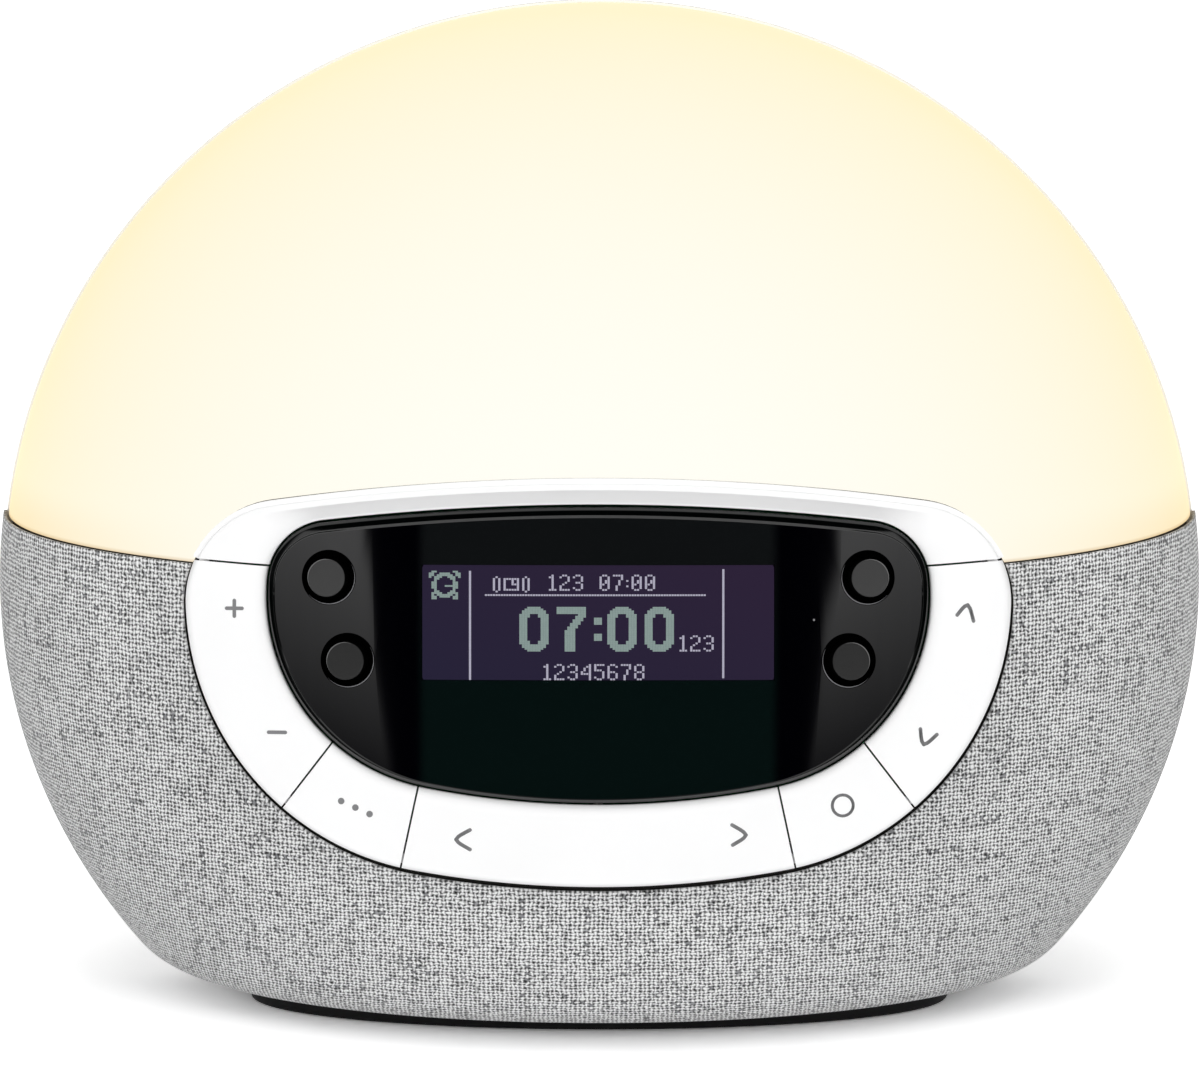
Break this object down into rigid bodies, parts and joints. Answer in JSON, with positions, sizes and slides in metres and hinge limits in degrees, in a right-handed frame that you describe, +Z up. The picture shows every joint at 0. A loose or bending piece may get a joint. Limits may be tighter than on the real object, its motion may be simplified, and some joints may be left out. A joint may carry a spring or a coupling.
{
  "type": "sunrise alarm clock",
  "caption": "Domed sunrise alarm clock with a glowing top, a fabric skirt and a tilted control panel with a display, rocking keys and round push buttons.",
  "frame": {"origin": "centre of the footprint's bounding box, on the surface that the rubber feet rest on", "axes": "+Z up, the control panel faces -Y, +X to the right as seen from the front"},
  "size_m": [0.21, 0.1174, 0.1748],
  "materials": {
    "frosted_acrylic": "satin, lit from inside",
    "grey_melange_fabric": "plain weave",
    "black_plastic": "fine grain",
    "black_rubber": "matte",
    "white_abs": "fine grain",
    "black_gloss_acrylic": "polished",
    "display_lens": "polished",
    "white_key_plastic": "satin",
    "zinc_steel": "zinc plated",
    "nickel_contact": "nickel plated",
    "green_circuit_board": "solder mask",
    "white_circuit_board": "white solder mask",
    "white_reflector_plastic": "matte white",
    "bare_aluminium": "milled",
    "ferrite": "sintered",
    "black_cone_paper": "pressed pulp",
    "soft_seal_rubber": "closed-cell foam",
    "grey_shell_plastic": "moulded",
    "dark_button_plastic": "satin",
    "black_moulding": "moulded"
  },
  "bodies": {
    "housing": {"antenna_grommet": "soft_seal_rubber", "base_plinth": "black_plastic", "base_screws": "zinc_steel", "casing_screws": "zinc_steel", "centre_rocker_pin": "zinc_steel", "dc_jack": "black_moulding", "dc_jack_pin": "nickel_contact", "diffuser_dome": "frosted_acrylic", "display_gasket": "soft_seal_rubber", "display_glass": "display_lens", "display_module": "black_moulding", "dome_gasket": "soft_seal_rubber", "fabric_skin": "grey_melange_fabric", "fascia_window": "black_gloss_acrylic", "front_shell": "grey_shell_plastic", "inner_frame": "black_moulding", "jack_nut": "zinc_steel", "led_board": "white_circuit_board", "led_board_screws": "zinc_steel", "led_heat_spreader": "bare_aluminium", "leds": "white_reflector_plastic", "left_rocker_pin": "zinc_steel", "left_switch_board": "green_circuit_board", "light_tray": "white_reflector_plastic", "main_board": "green_circuit_board", "panel_housing": "white_key_plastic", "panel_screws": "zinc_steel", "rear_casing": "white_abs", "reflector": "white_reflector_plastic", "right_rocker_pin": "zinc_steel", "right_switch_board": "green_circuit_board", "rubber_feet": "black_rubber", "speaker_cone": "black_cone_paper", "speaker_frame": "black_moulding", "speaker_gasket": "soft_seal_rubber", "speaker_magnet": "ferrite", "speaker_screws": "zinc_steel", "tact_switches": "black_moulding", "top_bezel": "white_key_plastic"},
    "button_upper_left": {"button_upper_left": "dark_button_plastic"},
    "button_lower_left": {"button_lower_left": "dark_button_plastic"},
    "button_upper_right": {"button_upper_right": "dark_button_plastic"},
    "button_lower_right": {"button_lower_right": "dark_button_plastic"},
    "left_push_key": {"left_push_key": "white_key_plastic"},
    "right_push_key": {"right_push_key": "white_key_plastic"},
    "left_rocker_key": {"left_rocker_key": "white_key_plastic"},
    "right_rocker_key": {"right_rocker_key": "white_key_plastic"},
    "centre_rocker_key": {"centre_rocker_key": "white_key_plastic"}
  },
  "joints": [
    {"name": "button_upper_left_press", "type": "slide", "parent": "housing", "child": "button_upper_left", "axis": [0.1665, 0.9752, -0.1457], "range_m": [0, 0.0006], "stiffness_N_per_m": 700},
    {"name": "button_lower_left_press", "type": "slide", "parent": "housing", "child": "button_lower_left", "axis": [0.1665, 0.9752, -0.1457], "range_m": [0, 0.0006], "stiffness_N_per_m": 700},
    {"name": "button_upper_right_press", "type": "slide", "parent": "housing", "child": "button_upper_right", "axis": [-0.1665, 0.9752, -0.1457], "range_m": [0, 0.0006], "stiffness_N_per_m": 700},
    {"name": "button_lower_right_press", "type": "slide", "parent": "housing", "child": "button_lower_right", "axis": [-0.1665, 0.9752, -0.1457], "range_m": [0, 0.0006], "stiffness_N_per_m": 700},
    {"name": "left_push_key_press", "type": "slide", "parent": "housing", "child": "left_push_key", "axis": [0, 0.989, -0.1478], "range_m": [0, 0.0005], "stiffness_N_per_m": 900},
    {"name": "right_push_key_press", "type": "slide", "parent": "housing", "child": "right_push_key", "axis": [0, 0.989, -0.1478], "range_m": [0, 0.0005], "stiffness_N_per_m": 900},
    {"name": "left_rocker_rock", "type": "hinge", "parent": "housing", "child": "left_rocker_key", "pos_m": [-0.05772, -0.04179, 0.06849], "axis": [-0.9263, 0.1674, -0.3375], "range_deg": [-2.2, 2.2], "stiffness_Nm_per_rad": 1},
    {"name": "right_rocker_rock", "type": "hinge", "parent": "housing", "child": "right_rocker_key", "pos_m": [0.05772, -0.04179, 0.06849], "axis": [0.9263, 0.1674, -0.3375], "range_deg": [-2.2, 2.2], "stiffness_Nm_per_rad": 1},
    {"name": "centre_rocker_rock", "type": "hinge", "parent": "housing", "child": "centre_rocker_key", "pos_m": [0, -0.05257, 0.04119], "axis": [0, -0.1478, -0.989], "range_deg": [-1.1, 1.1], "stiffness_Nm_per_rad": 1}
  ]
}
